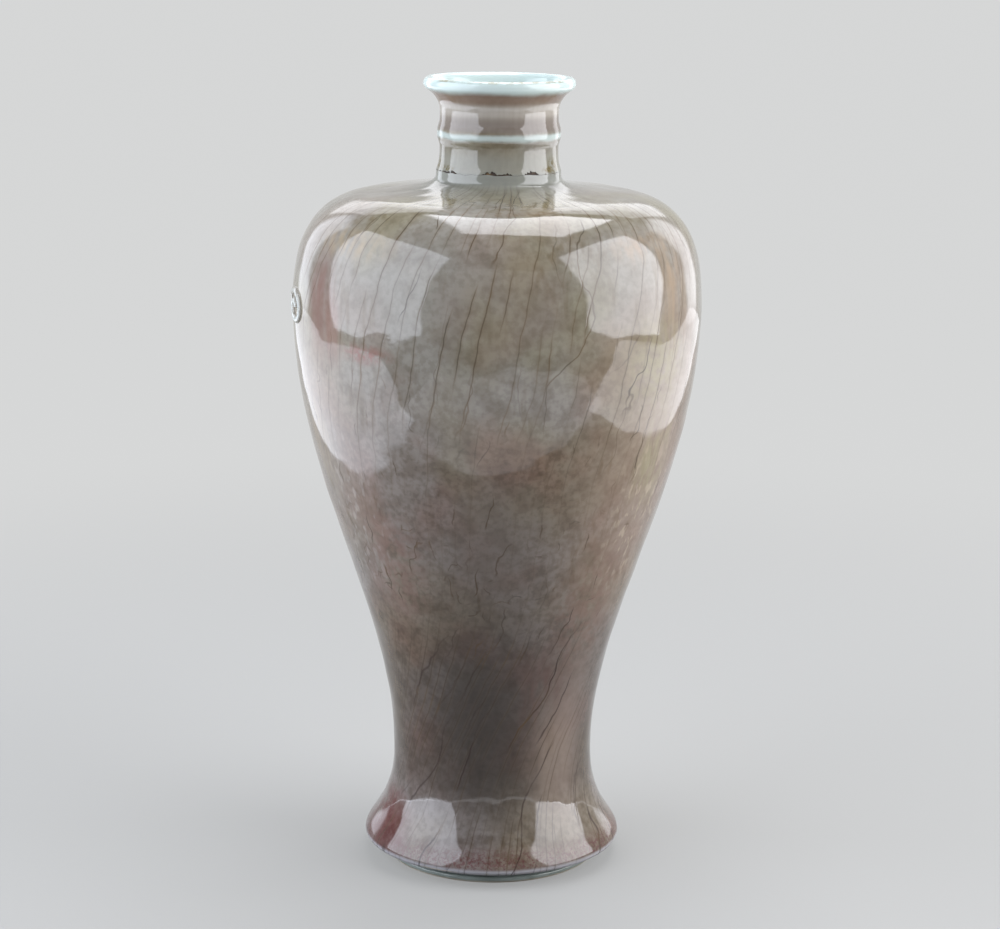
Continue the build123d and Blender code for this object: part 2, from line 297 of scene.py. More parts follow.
def glaze_skin(name, start, end, turns, to_axis=False):
    """A thin closed skin between two lengths along the outline. Each may vary round the axis.

    The rows of the grid go along the outside of the glaze, and back along the clay with wider steps."""
    theta = np.arange(turns) * 2 * pi / turns
    start, end = np.broadcast_to(start, turns), np.broadcast_to(end, turns)
    count = int((end.max() - start.min()) / row_step) + 2
    share = np.linspace(0, 1, count)[:, None]
    points, normals = glaze_points(start + (end - start) * share, theta[None, :])
    back = np.unique(np.concatenate([np.arange(0, count, 2), [count - 1]]))[::-1]
    clay_side = points[back] - glaze_depth * normals[back]
    rows, all_normals = np.concatenate([points, clay_side]), np.concatenate([normals, -normals[back]])
    if to_axis:  # from the pole at the end of the outside to the pole under it
        order = np.concatenate([np.arange(count)[::-1], count + np.arange(len(back))[::-1]])
        rows, all_normals = rows[order], all_normals[order]
    return closed_mesh(name, rows, all_normals, poles=to_axis)


def ragged(theta, seed, height, fewest=3, most=40):
    """An uneven edge round the axis, at most the height: a sum of whole waves with random phases, the
    long waves higher than the short ones."""
    chance = np.random.default_rng(seed)
    waves = np.arange(fewest, most)
    phase = chance.uniform(0, 2 * pi, len(waves))
    fall_off = 0.6
    size = 1 / waves**fall_off
    wave = (size[:, None] * np.cos(waves[:, None] * theta + phase[:, None])).sum(0)
    return height * wave / np.abs(wave).max()


# Chips at the neck's foot: bearing, half the width in degrees, height in mm
chip_places = (
    (270, 13, 1.1), (263, 6, 2.3), (278, 4, 1.7), (300, 6, 2.7), (306, 3, 1.6), (222, 7, 1.5), (211, 9, 0.9),
    (20, 8, 1.8), (130, 10, 1.2),
)


def open_joint(turns):
    """Both edges of the open joint at the neck's foot, as lengths along the outline, round the axis.

    It is a wavy hairline with chips at some bearings. A chip is half an ellipse of the angle, and
    short waves round the axis roughen it."""
    below_collar, edge_wave, hairline, gape, gape_from = 0.1, 0.5, 0.09, 0.5, 0.25
    bite_mean, bite_swing, bite_least = 0.5, 0.6, 0.05
    theta = np.arange(turns) * 2 * pi / turns
    low = path_at(collar_z - below_collar) + ragged(theta, 5, edge_wave)
    open_by = hairline + gape * np.clip(ragged(theta, 8, 1.0, 3, 120) - gape_from, 0, None)
    for bearing, wide, tall in chip_places:
        away = (np.degrees(theta) - bearing + 180) % 360 - 180
        bite = np.sqrt(np.clip(1 - (away / wide) ** 2, 0, None))
        rough = np.clip(bite_mean + bite_swing * ragged(theta, bearing, 1.0, 14, 150), bite_least, None)
        open_by = np.maximum(open_by, tall * bite * rough)
    return low, low + open_by


body_turns, neck_turns, mouth_turns = 240, 720, 192
past_rebate, short_of_axis = 0.4, 2.0
lip_at = path_at(nose_z)
body_glaze = glaze_skin("body_glaze", past_rebate, open_joint(body_turns)[0], body_turns)
neck_glaze = glaze_skin("neck_glaze", open_joint(neck_turns)[1], lip_at, neck_turns)
mouth_glaze = glaze_skin("mouth_glaze", lip_at, path[-1] - short_of_axis, mouth_turns, to_axis=True)

flank_part = (path > path_at(waist_z)) & (path < path_at(crown_z))
flank_heights, flank_radii = outline[flank_part, 1], outline[flank_part, 0]


def belly_scroll(bearing, proud, width):
    """A rounded ridge in a coil of half turns on the belly, on a grid of path and section.

    The path is half ellipses whose reach grows at each half turn, laid on the belly: across is an angle
    about Z and up is a height. The section is an ellipse, sunk a little and flatter below, and it tapers
    to the ends of the path."""
    eye_reach, growth, half_turns, flatness, steps = 3.6, 3.0, 3, 0.72, 90
    start_taper, end_taper, thinnest, below, sunk, section_points = 0.05, 0.16, 0.12, 0.6, 0.1, 28
    which = np.arange(half_turns)
    side = 1 - 2 * (which % 2)
    centre = np.concatenate([[0], np.cumsum(side * growth)[:-1]])
    angle = np.linspace(0, pi, steps, endpoint=False)[None, :] + ((1 - side) / 2 * pi)[:, None]
    reach = eye_reach + growth * which[:, None]
    across = (centre[:, None] + reach * np.cos(angle)).ravel()
    up = (flatness * reach * np.sin(angle)).ravel()
    flat = np.stack([across, up], 1)
    ends = np.linspace(0, 1, len(flat))
    taper = np.clip(np.minimum(ends / start_taper, (1 - ends) / end_taper), 0, 1)
    taper = thinnest + (1 - thinnest) * np.sqrt(taper * (2 - taper))
    heading = np.gradient(flat, axis=0)
    heading /= np.linalg.norm(heading, axis=1, keepdims=True)
    section = np.arange(section_points) * 2 * pi / section_points
    sideways = width / 2 * np.cos(section)[None, :] * taper[:, None]
    lift = proud * np.sin(section)[None, :] * taper[:, None]
    lift = np.where(lift < 0, lift * below, lift) - sunk
    across = flat[:, :1] - heading[:, 1:] * sideways
    up = flat[:, 1:] + heading[:, :1] * sideways
    theta = radians(bearing) + across / belly_radius
    height = belly_z + up
    radius = np.interp(height, flank_heights, flank_radii) + glaze_proud + lift
    rows = np.stack([radius * np.cos(theta), radius * np.sin(theta), height], -1)
    return closed_mesh("belly_scroll_glaze", rows, poles=True)


scroll_glaze = belly_scroll(bearing=193.5, proud=1.2, width=3.1)

# Patterns for the materials. Sizes, places and distances are in mm


def place_on_vase(tree):
    """The place on the vase in mm, from Object coordinates, with its height, angle about Z and radius."""
    metres = add(tree, "TexCoord").outputs["Object"]
    place = add(tree, "VectorMath", {0: metres, "Scale": 1 / MM}, operation="SCALE")
    parts = add(tree, "SeparateXYZ", {0: place})
    angle = add(tree, "Math", {0: parts.outputs["Y"], 1: parts.outputs["X"]}, operation="ARCTAN2")
    level = add(tree, "VectorMath", {0: place, 1: (1, 1, 0)}, operation="MULTIPLY")
    radius = add(tree, "VectorMath", {0: level}, operation="LENGTH")
    return place.outputs[0], parts.outputs["Z"], angle.outputs[0], radius.outputs["Value"]


def product(tree, *factors):
    """The factors multiplied together."""
    result = factors[0]
    for factor in factors[1:]:
        result = add(tree, "Math", {0: result, 1: factor}, operation="MULTIPLY").outputs[0]
    return result


def cloud(tree, place, size, low, high, detail=2.0, rough=0.5, low_to=0.0, high_to=1.0, shift=0.0):
    """Noise whose clouds are about the given size, spread from low..high to low_to..high_to. The shift
    takes it from another part of the noise."""
    moved = add(tree, "VectorMath", {0: place, 1: (shift, 0.7 * shift, 1.3 * shift)}, operation="ADD")
    noise = add(tree, "TexNoise", {"Vector": moved, "Scale": 1 / size, "Detail": detail, "Roughness": rough})
    spread = {"Value": noise, "From Min": low, "From Max": high, "To Min": low_to, "To Max": high_to}
    return add(tree, "MapRange", spread, interpolation_type="SMOOTHSTEP").outputs[0]


def near(tree, value, clear, full):
    """1 where the value is up to full, falling to 0 at clear."""
    fall = {"Value": value, "From Min": full, "From Max": clear, "To Min": 1.0, "To Max": 0.0}
    return add(tree, "MapRange", fall, interpolation_type="SMOOTHSTEP").outputs[0]


def band(tree, value, low, low_end, high_end=None, high=None):
    """1 where the value is in a band with soft ends: from low to low_end, and from high_end to high."""
    rise = {"Value": value, "From Min": low, "From Max": low_end}
    above = add(tree, "MapRange", rise, interpolation_type="SMOOTHSTEP").outputs[0]
    return above if high is None else product(tree, above, near(tree, value, high, high_end))


def mark(tree, place, bearing, height, radius, width, tall):
    """A soft patch on the wall: 1 at its middle, 0 at its edge, at a bearing, a height and a radius."""
    turn = radians(bearing)
    middle = (radius * cos(turn), radius * sin(turn), height)
    away = add(tree, "VectorMath", {0: place, 1: middle}, operation="SUBTRACT")
    sized = add(tree, "VectorMath", {0: away, 1: (2 / width, 2 / width, 2 / tall)}, operation="MULTIPLY")
    reach = add(tree, "VectorMath", {0: sized}, operation="LENGTH")
    return near(tree, reach.outputs["Value"], 1.0, 0.1)


def tint(tree, under, over, share, way="MIX"):
    """A colour laid over another by a share from 0 to 1, or multiplied into it."""
    under, over = [linear(side) if isinstance(side, str) else side for side in (under, over)]
    inputs = {"Factor": share, 6: under, 7: over}
    return add(tree, "Mix", inputs, data_type="RGBA", blend_type=way).outputs[2]


def crack_lines(tree, spot, count, seed, wander, crook, lean, run, kept):
    """Crackle that runs up the vase: the distance to the nearest line, and how strong it is there.

    The angle, less a twist that grows with the height, is divided into equal cells. Each cell holds one
    line at a random place, noise lets it wander and bends it, and a second noise along it breaks it into
    lengths of about run. The lean is the twist for each mm, the extra twist for each mm low down, and the
    height where the extra ends."""
    foot_level, foot_blend, extra_blend = 42.0, 30.0, 40.0
    wander_size, crook_size, line_offset = 58.0, 9.0, 311.7
    place, height, angle, radius = spot
    rise = add(tree, "Math", {0: height, 1: radius}, operation="SUBTRACT")
    steady = add(tree, "Math", {0: rise, 1: lean[0]}, operation="MULTIPLY")
    above_foot = add(tree, "Math", {0: height, 1: foot_level, 2: foot_blend}, operation="SMOOTH_MAX")
    low = add(tree, "Math", {0: above_foot, 1: lean[2], 2: extra_blend}, operation="SMOOTH_MIN")
    twist = add(tree, "Math", {0: low, 1: lean[1], 2: steady}, operation="MULTIPLY_ADD")
    turned = add(tree, "Math", {0: angle, 1: twist}, operation="SUBTRACT")
    wide = cloud(tree, place, wander_size, 0.0, 1.0, 1.0, low_to=-wander, high_to=wander, shift=seed)
    close = cloud(tree, place, crook_size, 0.0, 1.0, 1.5, low_to=-crook, high_to=crook, shift=2 * seed)
    wobble = add(tree, "Math", {0: wide, 1: close}, operation="ADD")
    cells = add(tree, "Math", {0: turned, 1: count / (2 * pi), 2: wobble}, operation="MULTIPLY_ADD")
    cell = add(tree, "Math", {0: cells}, operation="FLOOR")
    part = add(tree, "Math", {0: cells}, operation="FRACT")
    which = add(tree, "Math", {0: cell, 1: float(count)}, operation="FLOORED_MODULO")
    chance = add(tree, "TexWhiteNoise", {"W": which}, noise_dimensions="1D").outputs["Value"]
    line_at = add(tree, "MapRange", {"Value": chance, "To Min": 0.2, "To Max": 0.8})
    off = add(tree, "Math", {0: part, 1: line_at}, operation="SUBTRACT")
    away = add(tree, "Math", {0: off}, operation="ABSOLUTE")
    cell_width = add(tree, "Math", {0: radius, 1: 2 * pi / count}, operation="MULTIPLY")
    own = add(tree, "Math", {0: which, 1: line_offset}, operation="MULTIPLY")
    on_line = add(tree, "CombineXYZ", {0: own, 1: rise, 2: seed})
    lengths = cloud(tree, on_line, run, *kept, 1.5)
    own_depth = add(tree, "MapRange", {"Value": chance, "To Min": 1.0, "To Max": 0.35})
    return product(tree, away, cell_width), product(tree, lengths, own_depth)


# Materials

white = "#bbc9c5"
glaze_ior = 1.52


def new_material(name):
    """An empty node material and its tree."""
    material = bpy.data.materials.new(name)
    material.use_nodes = True
    material.node_tree.nodes.clear()
    return material, material.node_tree


def surface(tree, inputs):
    """Ends a material: its shader with these inputs, and its output."""
    add(tree, "OutputMaterial", {"Surface": add(tree, "BsdfPrincipled", inputs)})


def glassy(tree, place):
    """A glaze's roughness, and its shallow pits in mm."""
    rough = cloud(tree, place, 8.0, 0.3, 0.7, 3.0, low_to=0.03, high_to=0.07, shift=61.0)
    return rough, cloud(tree, place, 1.8, 0.3, 0.7, 2.0, low_to=0.0, high_to=0.003, shift=47.0)


# Glazed porcelain: a copper-red glaze that lost its red in the kiln. A clear glassy coat over a cloudy
# taupe with pink and olive in it, red where copper stayed, white where the glaze drained off the lip
# and the string ring, and long brown cracks that run up the vase.
copper_glaze, tree = new_material("copper_red_glaze_fired_taupe")
spot = place_on_vase(tree)
place, height = spot[:2]
# Painted shade: the body's colour steps darker from the shoulder to the waist and pales again on the skirt,
# partly for the undercut lower body that gets less light from above, partly the glaze's own tone.
colour = tint(tree, "#837f76", "#797069", near(tree, height, 240.0, 170.0))
colour = tint(tree, colour, "#5a4f48", near(tree, height, 140.0, 70.0))
colour = tint(tree, colour, "#807874", near(tree, height, 44.0, 26.0))

# Clouds in the glaze, from wide ones of olive and pink to a fine suede, stronger on the lower half
olive = cloud(tree, place, 55.0, 0.42, 0.62)
colour = tint(tree, colour, "#f6f2dd", olive, "MULTIPLY")
pink = cloud(tree, place, 42.0, 0.46, 0.66, 3.0, shift=31.0)
lower = add(tree, "MapRange", {"Value": near(tree, height, 250.0, 190.0), "To Min": 0.35})
colour = tint(tree, colour, "#ffe6e0", product(tree, pink, lower), "MULTIPLY")
pale = cloud(tree, place, 6.5, 0.46, 0.74, 2.5, 0.55, high_to=0.09, shift=29.0)
colour = tint(tree, colour, "#9a8f86", pale)
suede_share = add(tree, "MapRange", {"Value": lower, "From Min": 0.35, "To Min": 0.6})
suede = cloud(tree, place, 9.0, 0.40, 0.68, shift=83.0)
colour = tint(tree, colour, "#dbd5ce", product(tree, suede, suede_share), "MULTIPLY")
nap = cloud(tree, place, 2.4, 0.38, 0.68, shift=57.0)
colour = tint(tree, colour, "#e0ddd8", product(tree, nap, suede_share), "MULTIPLY")

# Broad washes. The pale ones on the sides (bearings 208, 312 and 324) are painted light from the side
# lamps, and the dark ones down the front (264 and 268) are painted shade; the dark red one by the foot is
# glaze that pooled and turned dark, and the pale one at the back is glaze that lay thin. Bearing, height,
# radius, width, height, colour and how much of it
for *where, glaze_wash_and_painted_light, most in (
    (324, 180, 72, 104, 220, "#a48d7b", 0.40),
    (208, 186, 74, 92, 200, "#98908a", 0.40),
    (208, 18, 50, 40, 38, "#5a1f19", 0.85),
    (312, 66, 43, 42, 120, "#9d8c81", 0.42),
    (264, 70, 43, 66, 180, "#332d28", 0.72),
    (268, 146, 66, 64, 120, "#5f554d", 0.52),
    (95, 120, 60, 100, 250, "#93826f", 0.5),
):
    colour = tint(tree, colour, glaze_wash_and_painted_light, product(tree, mark(tree, place, *where), most))
run_down = add(tree, "VectorMath", {0: place, 1: (1, 1, 0.09)}, operation="MULTIPLY")
ran = cloud(tree, run_down, 3.4, 0.48, 0.70, shift=11.0)
ran = product(tree, ran, cloud(tree, place, 30.0, 0.45, 0.65, shift=5.0))
colour = tint(tree, colour, "#e4ddd2", ran, "MULTIPLY")

# Copper that stayed: red and tan patches, in clouds, flecks or streaks that ran down. Bearing, height,
# radius, width, height, colour, how much of it, and what breaks it up
blotches = cloud(tree, place, 5.0, 0.34, 0.60, 3.0, 0.65, shift=19.0)
runs = cloud(tree, run_down, 3.6, 0.28, 0.70, shift=53.0)
seep = cloud(tree, run_down, 3.6, 0.10, 0.75, low_to=0.45, shift=53.0)
drawn_out = add(tree, "VectorMath", {0: place, 1: (1, 1, 0.4)}, operation="MULTIPLY")
flecks = cloud(tree, drawn_out, 3.0, 0.54, 0.68, shift=37.0)
for *where, stain, most, broken in (
    (198, 20, 48, 42, 38, "#541917", 1.0, blotches),
    (211, 15, 51, 26, 28, "#4a120e", 1.0, blotches),
    (222, 12, 53, 16, 10, "#521d1b", 0.9, blotches),
    (213, 245, 83, 26, 68, "#6c4037", 0.72, seep),
    (220, 234, 84, 16, 44, "#7d5044", 0.55, seep),
    (232, 227, 84, 36, 12, "#7d4f46", 0.85, blotches),
    (224, 268, 70, 60, 18, "#9a8667", 0.7, runs),
    (327, 250, 82, 28, 76, "#98846d", 0.75, runs),
    (315, 268, 71, 46, 18, "#9d8770", 0.6, runs),
    (319, 222, 83, 56, 58, "#969070", 0.5, blotches),
    (231, 140, 62, 46, 90, "#7e6058", 0.5, blotches),
    (312, 120, 58, 50, 100, "#785c51", 0.55, blotches),
    (296, 85, 46, 34, 70, "#5f4740", 0.75, runs),
    (305, 48, 43, 36, 70, "#a3917f", 0.3, seep),
    (326, 182, 75, 36, 66, "#969071", 0.7, runs),
    (205, 190, 76, 30, 70, "#93856f", 0.6, runs),
    (325, 158, 72, 56, 130, "#b5a893", 0.5, flecks),
    (216, 160, 70, 56, 120, "#aaa39d", 0.4, flecks),
    (40, 30, 46, 40, 34, "#744540", 0.7, blotches),
    (75, 252, 80, 60, 30, "#86584c", 0.6, runs),
    (120, 130, 60, 50, 90, "#7c6059", 0.5, blotches),
):
    colour = tint(tree, colour, stain, product(tree, mark(tree, place, *where), broken, most))

# The foot's edge: speckled red-brown above, and thin pale glaze on the edge itself
speckle = cloud(tree, place, 1.1, 0.42, 0.64, 2.0, 0.6, low_to=0.25, shift=43.0)
above_edge = band(tree, height, 8.4, 9.6, 12.0, 19.0)
colour = tint(tree, colour, "#5a3434", product(tree, speckle, above_edge, 0.8))
colour = tint(tree, colour, "#b4b2b8", product(tree, band(tree, height, 6.0, 6.5, 7.8, 9.6), 0.9))

# Crackle: long lines with a stain beside them, a second set that leans more, a third of short crooked
# ones, and a loose net. Real crackle is about 0.1 mm wide, too fine to show, so it is drawn about half a
# millimetre wide. Lines fade from their core to their reach, both measured from the middle
stain_reach, line_reach, line_core = 1.6, 0.44, 0.06
second_reach, second_low_reach = 0.46, 0.65
short_reach, short_core = 0.5, 0.08
net_reach, net_core, net_size, net_bend, bend_size = 0.42, 0.05, 14.0, 11.0, 9.0
line_colour = tint(tree, "#46331f", "#3a3024", cloud(tree, place, 30.0, 0.40, 0.60, shift=71.0))
line_colour = tint(tree, line_colour, "#2b1813", near(tree, height, 130.0, 90.0))
line_colour = tint(tree, line_colour, "#523b1e", cloud(tree, place, 24.0, 0.52, 0.70, shift=97.0))
off_neck = near(tree, height, 291.0, 286.0)
high_up = band(tree, height, 165.0, 215.0)
low_down = near(tree, height, 118.0, 95.0)
depth = add(tree, "Math", {0: low_down, 1: 0.56, 2: high_up}, operation="MULTIPLY_ADD")
depth = add(tree, "MapRange", {"Value": depth, "To Min": 0.17, "To Max": 0.95})
second_depth = add(tree, "Math", {0: high_up, 1: low_down}, operation="MAXIMUM")
steep, slanting = (0.0024, 0.009, 105.0), (0.0030, 0.012, 105.0)

distance, strong = crack_lines(
    tree, spot, count=76, seed=7.3, wander=0.6, crook=0.12, lean=steep, run=46.0, kept=(0.40, 0.54)
)
beside = product(tree, near(tree, distance, stain_reach, 0.0), strong, off_neck, depth, 0.3)
colour = tint(tree, colour, "#655640", beside)
cracks = product(tree, near(tree, distance, line_reach, line_core), strong, off_neck)
colour = tint(tree, colour, line_colour, product(tree, cracks, depth, 0.8))

distance, strong = crack_lines(
    tree, spot, count=31, seed=23.9, wander=1.1, crook=0.14, lean=slanting, run=40.0, kept=(0.48, 0.58)
)
reach = add(tree, "MapRange", {"Value": low_down, "To Min": second_reach, "To Max": second_low_reach})
second = product(tree, near(tree, distance, reach, line_core), strong, off_neck, second_depth)
colour = tint(tree, colour, line_colour, product(tree, second, 0.9))

distance, strong = crack_lines(
    tree, spot, count=60, seed=51.7, wander=1.2, crook=0.5, lean=steep, run=11.0, kept=(0.53, 0.63)
)
middle = band(tree, height, 90.0, 110.0, 205.0, 230.0)
short_ones = product(tree, near(tree, distance, short_reach, short_core), strong, middle)
colour = tint(tree, colour, line_colour, product(tree, short_ones, 0.85))

bent = add(tree, "TexNoise", {"Vector": place, "Scale": 1 / bend_size, "Detail": 2.0}).outputs["Color"]
shifted = add(tree, "VectorMath", {0: bent, 1: (net_bend,) * 3}, operation="MULTIPLY")
warped = add(tree, "VectorMath", {0: place, 1: shifted}, operation="ADD")
net = add(tree, "TexVoronoi", {"Vector": warped, "Scale": 1 / net_size}, feature="DISTANCE_TO_EDGE")
to_net = add(tree, "Math", {0: net.outputs["Distance"], 1: net_size}, operation="MULTIPLY").outputs[0]
net_kept = cloud(tree, place, 9.0, 0.60, 0.70, 1.0, shift=13.0)
net_kept = product(tree, net_kept, band(tree, height, 92.0, 112.0, 152.0, 175.0))
net_lines = product(tree, near(tree, to_net, net_reach, net_core), net_kept)
colour = tint(tree, colour, line_colour, product(tree, net_lines, 0.55))

# Neck: grey-green glaze pooled at its foot, pale and brown bands above, streaks, white on the ring and
# the lip, and rust at the joint. Bands: colour, heights of the soft ends, how much of it
for shade, *ends, most in (
    ("#83867f", 283.5, 290.0, 292.5, 294.0, 0.75),
    ("#86857a", 292.0, 293.5, 297.0, 304.0, 0.8),
    ("#8b8379", 309.0, 312.0, 318.0, 322.0, 0.8),
    ("#a59f95", 314.0, 317.0, 319.0, 321.5, 0.7),
    ("#6a5f57", 308.5, 310.0, 312.5, 316.0, 0.65),
    ("#836f62", 318.5, 322.5, 324.0, 326.0, 0.8),
):
    colour = tint(tree, colour, shade, product(tree, band(tree, height, *ends), most))
streaks = cloud(tree, run_down, 1.6, 0.35, 0.70, shift=67.0)
streaks = product(tree, streaks, band(tree, height, 292.0, 294.0), 0.15)
colour = tint(tree, colour, "#c9c2b8", streaks, "MULTIPLY")
uneven = cloud(tree, place, 11.0, 0.2, 0.8, 3.0, low_to=-0.5, high_to=0.5, shift=5.0)
wavy = add(tree, "Math", {0: height, 1: uneven}, operation="ADD").outputs[0]
colour = tint(tree, colour, white, product(tree, band(tree, wavy, 305.0, 306.7, 307.5, 309.1), 0.72))
colour = tint(tree, colour, white, band(tree, wavy, 323.4, 326.2))
spots = cloud(tree, place, 1.7, 0.34, 0.62, 3.0, shift=3.0)
joint_radius = 25.0
for bearing, at_height, wide, tall in (
    (192, 295.0, 13, 9), (213, 294.3, 13, 3.5), (330, 295.5, 12, 10), (321, 294.0, 9, 4), (80, 294.5, 14, 4),
):
    patch = mark(tree, place, bearing, at_height, joint_radius, wide, tall)
    colour = tint(tree, colour, "#5a4c1c", product(tree, patch, spots))

# Relief too low for a shape: shallow pits, one raised spot on the flank, and the cracks
rough, pits = glassy(tree, place)
pimple_bearing, pimple_height, pimple_wide, pimple_tall, crack_sink = 266, 150, 3.6, 0.12, -0.010
pimple_radius = float(np.interp(pimple_height, flank_heights, flank_radii))
pimple = mark(tree, place, pimple_bearing, pimple_height, pimple_radius, pimple_wide, pimple_wide)
raised = add(tree, "Math", {0: pits, 1: product(tree, pimple, pimple_tall)}, operation="ADD")
sunk = add(tree, "Math", {0: cracks, 1: crack_sink, 2: raised}, operation="MULTIPLY_ADD")
bump = add(tree, "Bump", {"Height": sunk, "Distance": MM})
surface(tree, {"Base Color": colour, "Roughness": rough, "Normal": bump, "IOR": glaze_ior})

# White glazed porcelain: clear glaze with a pale blue-green cast over a white body, with shade painted
# in darker down inside the neck, thin and faintly stained yellow where the lip has worn at the front.
white_glaze, tree = new_material("white_porcelain_glaze")
place, height, angle, radius = place_on_vase(tree)
colour = tint(tree, white, "#b6c6c2", cloud(tree, place, 20.0, 0.4, 0.65, 3.0))
worn = product(tree, band(tree, radius, 26.6, 27.8, 30.0, 31.0), band(tree, angle, -3.0, -2.5, -0.7, -0.15))
worn_away = cloud(tree, place, 4.0, 0.36, 0.62, 4.0, 0.65, shift=9.0)
colour = tint(tree, colour, "#857d62", product(tree, worn, worn_away, 0.8))
# Painted shade: darker down inside the neck, below the lip, where less light reaches.
painted_shade_in_neck = product(tree, near(tree, height, 318.0, 300.0), near(tree, radius, 30.0, 26.0))
colour = tint(tree, colour, "#a3b0ab", painted_shade_in_neck)
rough, pits = glassy(tree, place)
bump = add(tree, "Bump", {"Height": pits, "Distance": MM})
surface(tree, {"Base Color": colour, "Roughness": rough, "Normal": bump, "IOR": glaze_ior})

# Porcelain relief under the glaze: white where the glaze drained off the crest of the scroll, taupe in
# the hollows where it gathered.
relief_glaze, tree = new_material("white_relief_under_taupe_glaze")
place, _, _, radius = place_on_vase(tree)
colour = tint(tree, "#8a857b", "#979389", cloud(tree, place, 4.0, 0.4, 0.65, 3.0))
drained = cloud(tree, place, 3.0, 0.25, 0.5, 3.0, low_to=0.45, shift=5.0)
colour = tint(tree, colour, "#a8b0ac", product(tree, band(tree, radius, 84.9, 85.5), drained))
surface(tree, {"Base Color": colour, "Roughness": 0.06, "IOR": glaze_ior})

# Celadon-tinted porcelain of the foot: thin glaze, with the shade under the skirt painted dark in the
# groove, and wiped off where it stands on the ground, with a line of rust where the bare body begins.
celadon, tree = new_material("celadon_porcelain_foot")
place, height, _, radius = place_on_vase(tree)
colour = tint(tree, "#98a29c", "#87918a", cloud(tree, place, 14.0, 0.4, 0.65, 3.0))
# Painted shade: the foot ring's upper part, under the skirt's overhang, is darkened.
painted_groove_shade = product(tree, band(tree, height, 2.5, 3.3), band(tree, radius, 40.0, 41.5), 0.85)
colour = tint(tree, colour, "#3f423f", painted_groove_shade)
colour = tint(tree, colour, "#8a6a46", product(tree, band(tree, height, 0.45, 0.7, 0.8, 1.3), 0.25))
bare = near(tree, height, 0.75, 0.55)
colour = tint(tree, colour, "#b5aa96", bare)
rough = add(tree, "MapRange", {"Value": bare, "To Min": 0.12, "To Max": 0.7})
surface(tree, {"Base Color": colour, "Roughness": rough, "IOR": glaze_ior})

# Fired porcelain clay and slip, under the glaze: pale and matt, with old dirt in the open joint at the
# neck's foot.
clay, tree = new_material("fired_porcelain_clay")
place, height, _, radius = place_on_vase(tree)
colour = tint(tree, "#bdb4a3", "#aca18e", cloud(tree, place, 3.0, 0.4, 0.65, 3.0))
dirt = tint(tree, "#2e2219", "#5e4727", cloud(tree, place, 5.0, 0.52, 0.68, 3.0))
joint = product(tree, band(tree, height, 290.8, 291.4, 295.0, 296.0), band(tree, radius, 23.0, 23.6))
surface(tree, {"Base Color": tint(tree, colour, dirt, joint), "Roughness": 0.75})

finishes = {
    body_glaze: (copper_glaze, "taupe_glaze"),
    neck_glaze: (copper_glaze, "taupe_glaze"),
    mouth_glaze: (white_glaze, "white_glaze"),
    scroll_glaze: (relief_glaze, "white_glaze"),
}
for piece, (material, slot_name) in finishes.items():
    piece.data.materials.append(material)
    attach(piece, "root")
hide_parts("belly_scroll")
for name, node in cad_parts.items():
    node.data.materials.clear()
    node.data.materials.append(celadon if name in ("foot_ring", "base_disc", "base_slip") else clay)

# Floor: a pale paper sweep, flat under the vase and curved up all round, sizes in metres. To the camera
# and in reflections it is pale, with the vase's shadow on it; it throws little light back at the vase.
floor_paper, tree = new_material("pale_floor_paper")
ray = add(tree, "LightPath").outputs
seen = add(tree, "Math", {0: ray["Is Camera Ray"], 1: ray["Is Glossy Ray"]}, operation="ADD")
seen = add(tree, "Math", {0: seen, 1: ray["Is Transmission Ray"]}, operation="ADD", use_clamp=True)
*_, radius = place_on_vase(tree)
far_off = band(tree, radius, 250.0, 800.0)
glow = add(tree, "MapRange", {"Value": far_off, "To Min": 0.28, "To Max": 0.70})
paper = tint(tree, "#7c7c7a", "#0e0e0e", far_off)
paper_inputs = {
    "Base Color": tint(tree, "#3a3a3a", paper, seen),
    "Emission Color": linear("#fafbfb"),
    "Emission Strength": product(tree, seen, glow),
    "Roughness": 0.9,
    "Specular IOR Level": 0.0,
}
surface(tree, paper_inputs)
inner, flat_reach, curve, top, turns = 0.4, 2.4, 1.0, 2.2, 96
lift = arc((flat_reach, curve), (curve, curve), -90, 0)
level_part, end = [[0.0, 0.0], [inner, 0.0], [flat_reach, 0.0]], [[flat_reach + curve, top]]
sweep = np.concatenate([level_part, lift, end])
theta = np.arange(turns) * 2 * pi / turns
out, up = sweep[:, :1], np.repeat(sweep[:, 1:], turns, 1)
ground = np.stack([out * np.cos(theta), out * np.sin(theta), up], -1)
index = np.arange(len(sweep) * turns).reshape(len(sweep), turns)
after = np.roll(index, -1, 1)
quads = np.stack([index[:-1], after[:-1], after[1:], index[1:]], -1).reshape(-1, 4)[:, ::-1]
floor_mesh = bpy.data.meshes.new("floor")
floor_mesh.from_pydata(ground.reshape(-1, 3).tolist(), [], quads.tolist())
floor_mesh.shade_smooth()
floor_mesh.materials.append(floor_paper)
floor = bpy.data.objects.new("floor", floor_mesh)
bpy.context.scene.collection.objects.link(floor)

# Light: sizes and places in metres, angles in degrees
aim_height, card_height, over_to_right = 0.25, 0.02, 0.14


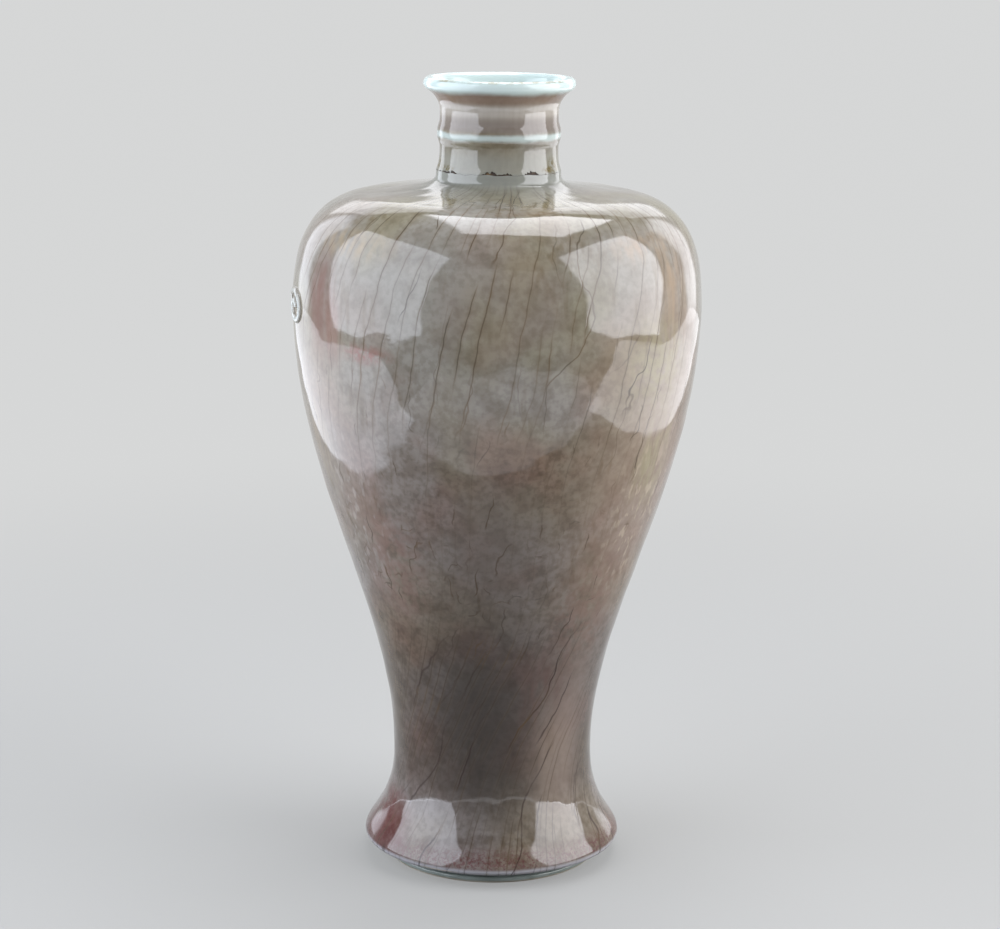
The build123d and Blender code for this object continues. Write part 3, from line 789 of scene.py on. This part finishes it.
def soft_lamp(name, size, radiance, colour, edge, far=1.0):
    """A flat light that fades over its edge, and along its length to a share of its glow at the far end.
    Its power is the radiance times pi and its area."""
    lamp = bpy.data.lights.new(name, "AREA")
    lamp.shape = "RECTANGLE"
    lamp.size, lamp.size_y = size
    lamp.energy = radiance * pi * size[0] * size[1]
    lamp.color = colour
    lamp.use_nodes = True
    tree = lamp.node_tree
    tree.nodes.clear()
    across = add(tree, "SeparateXYZ", {0: add(tree, "NewGeometry").outputs["Parametric"]}).outputs
    fades = [band(tree, across[i], 0.0, edge / size[i], 1 - edge / size[i], 1.0) for i in (0, 1)]
    glow = add(tree, "MapRange", {"Value": across[1], "To Min": far, "To Max": 1.0})
    add(tree, "OutputLight", {0: add(tree, "Emission", {"Strength": product(tree, glow, *fades)})})
    holder = bpy.data.objects.new(name, lamp)
    bpy.context.scene.collection.objects.link(holder)
    holder.visible_camera = False
    return holder


def softbox(name, bearing, lift, distance, size, radiance, colour, edge=0.07):
    """A soft light that faces the belly, at a bearing, an angle above level and a distance."""
    holder = soft_lamp(name, size, radiance, colour, edge)
    turn, rise = radians(bearing), radians(lift)
    away = Vector((cos(turn) * cos(rise), sin(turn) * cos(rise), sin(rise)))
    holder.location = Vector((0, 0, aim_height)) + distance * away
    holder.rotation_euler = away.to_track_quat("Z", "Y").to_euler()
    return holder


def card(name, middle, size, turn, radiance, colour, far=1.0, edge=0.012):
    """A bright card that lies on the floor and faces up, turned about Z."""
    holder = soft_lamp(name, size, radiance, colour, edge, far)
    holder.location = (*middle, card_height)
    holder.rotation_euler = (pi, 0, radians(turn))


cool, plain = (0.91, 0.96, 1.07), (0.97, 0.98, 1.03)
softbox("left_softbox", 198, lift=18, distance=1.1, size=(1.5, 1.37), radiance=4.0, colour=cool)
softbox("right_softbox", 345, lift=18, distance=1.1, size=(1.2, 1.33), radiance=5.1, colour=plain)
over = softbox("top_softbox", 90, lift=75, distance=1.15, size=(0.9, 1.05), radiance=6.2, colour=plain)
over.location.x += over_to_right
for name, bearing, hue in (("back_left_strip", 134, cool), ("back_right_strip", 46, plain)):
    softbox(name, bearing, lift=12, distance=1.25, size=(0.5, 1.12), radiance=1.8, colour=hue, edge=0.12)
softbox("back_beam", 90, lift=31, distance=1.25, size=(1.3, 0.6), radiance=1.5, colour=plain)
card("left_card", (-0.677, 0.386), size=(0.60, 1.44), turn=10, radiance=2.75, colour=cool, far=0.4)
card("right_card", (0.75, 0.369), size=(0.62, 1.44), turn=-7.4, radiance=2.8, colour=plain, far=0.4)
card("front_card", (0.04, -0.4425), size=(0.84, 0.38), turn=0, radiance=1.05, colour=plain)
world = bpy.data.worlds.new("studio")
world.use_nodes = True
room = world.node_tree.nodes["Background"].inputs
room["Color"].default_value = linear("#8f9296")
room["Strength"].default_value = 0.35
bpy.context.scene.world = world

# Camera: at the photograph's viewing angle
camera = bpy.data.cameras.new("camera")
camera.lens, camera.sensor_width = 89.05, 36.0
camera.clip_start, camera.clip_end = 0.05, 50
eye = bpy.data.objects.new("camera", camera)
bpy.context.scene.collection.objects.link(eye)
eye_place = (0, -1.0119, 0.4004)
pitch, roll, yaw = radians(12.8966), radians(0.66565), 0.0019
forward = Vector((sin(yaw) * cos(pitch), cos(yaw) * cos(pitch), -sin(pitch)))
level = Vector((cos(yaw), -sin(yaw), 0))
upward = level.cross(forward)
eye_right = cos(roll) * level + sin(roll) * upward
eye_up = cos(roll) * upward - sin(roll) * level
aim = Matrix((eye_right, eye_up, -forward)).transposed().to_4x4()
eye.matrix_world = Matrix.Translation(eye_place) @ aim
bpy.context.scene.camera = eye
bpy.context.scene.view_settings.view_transform = "Standard"
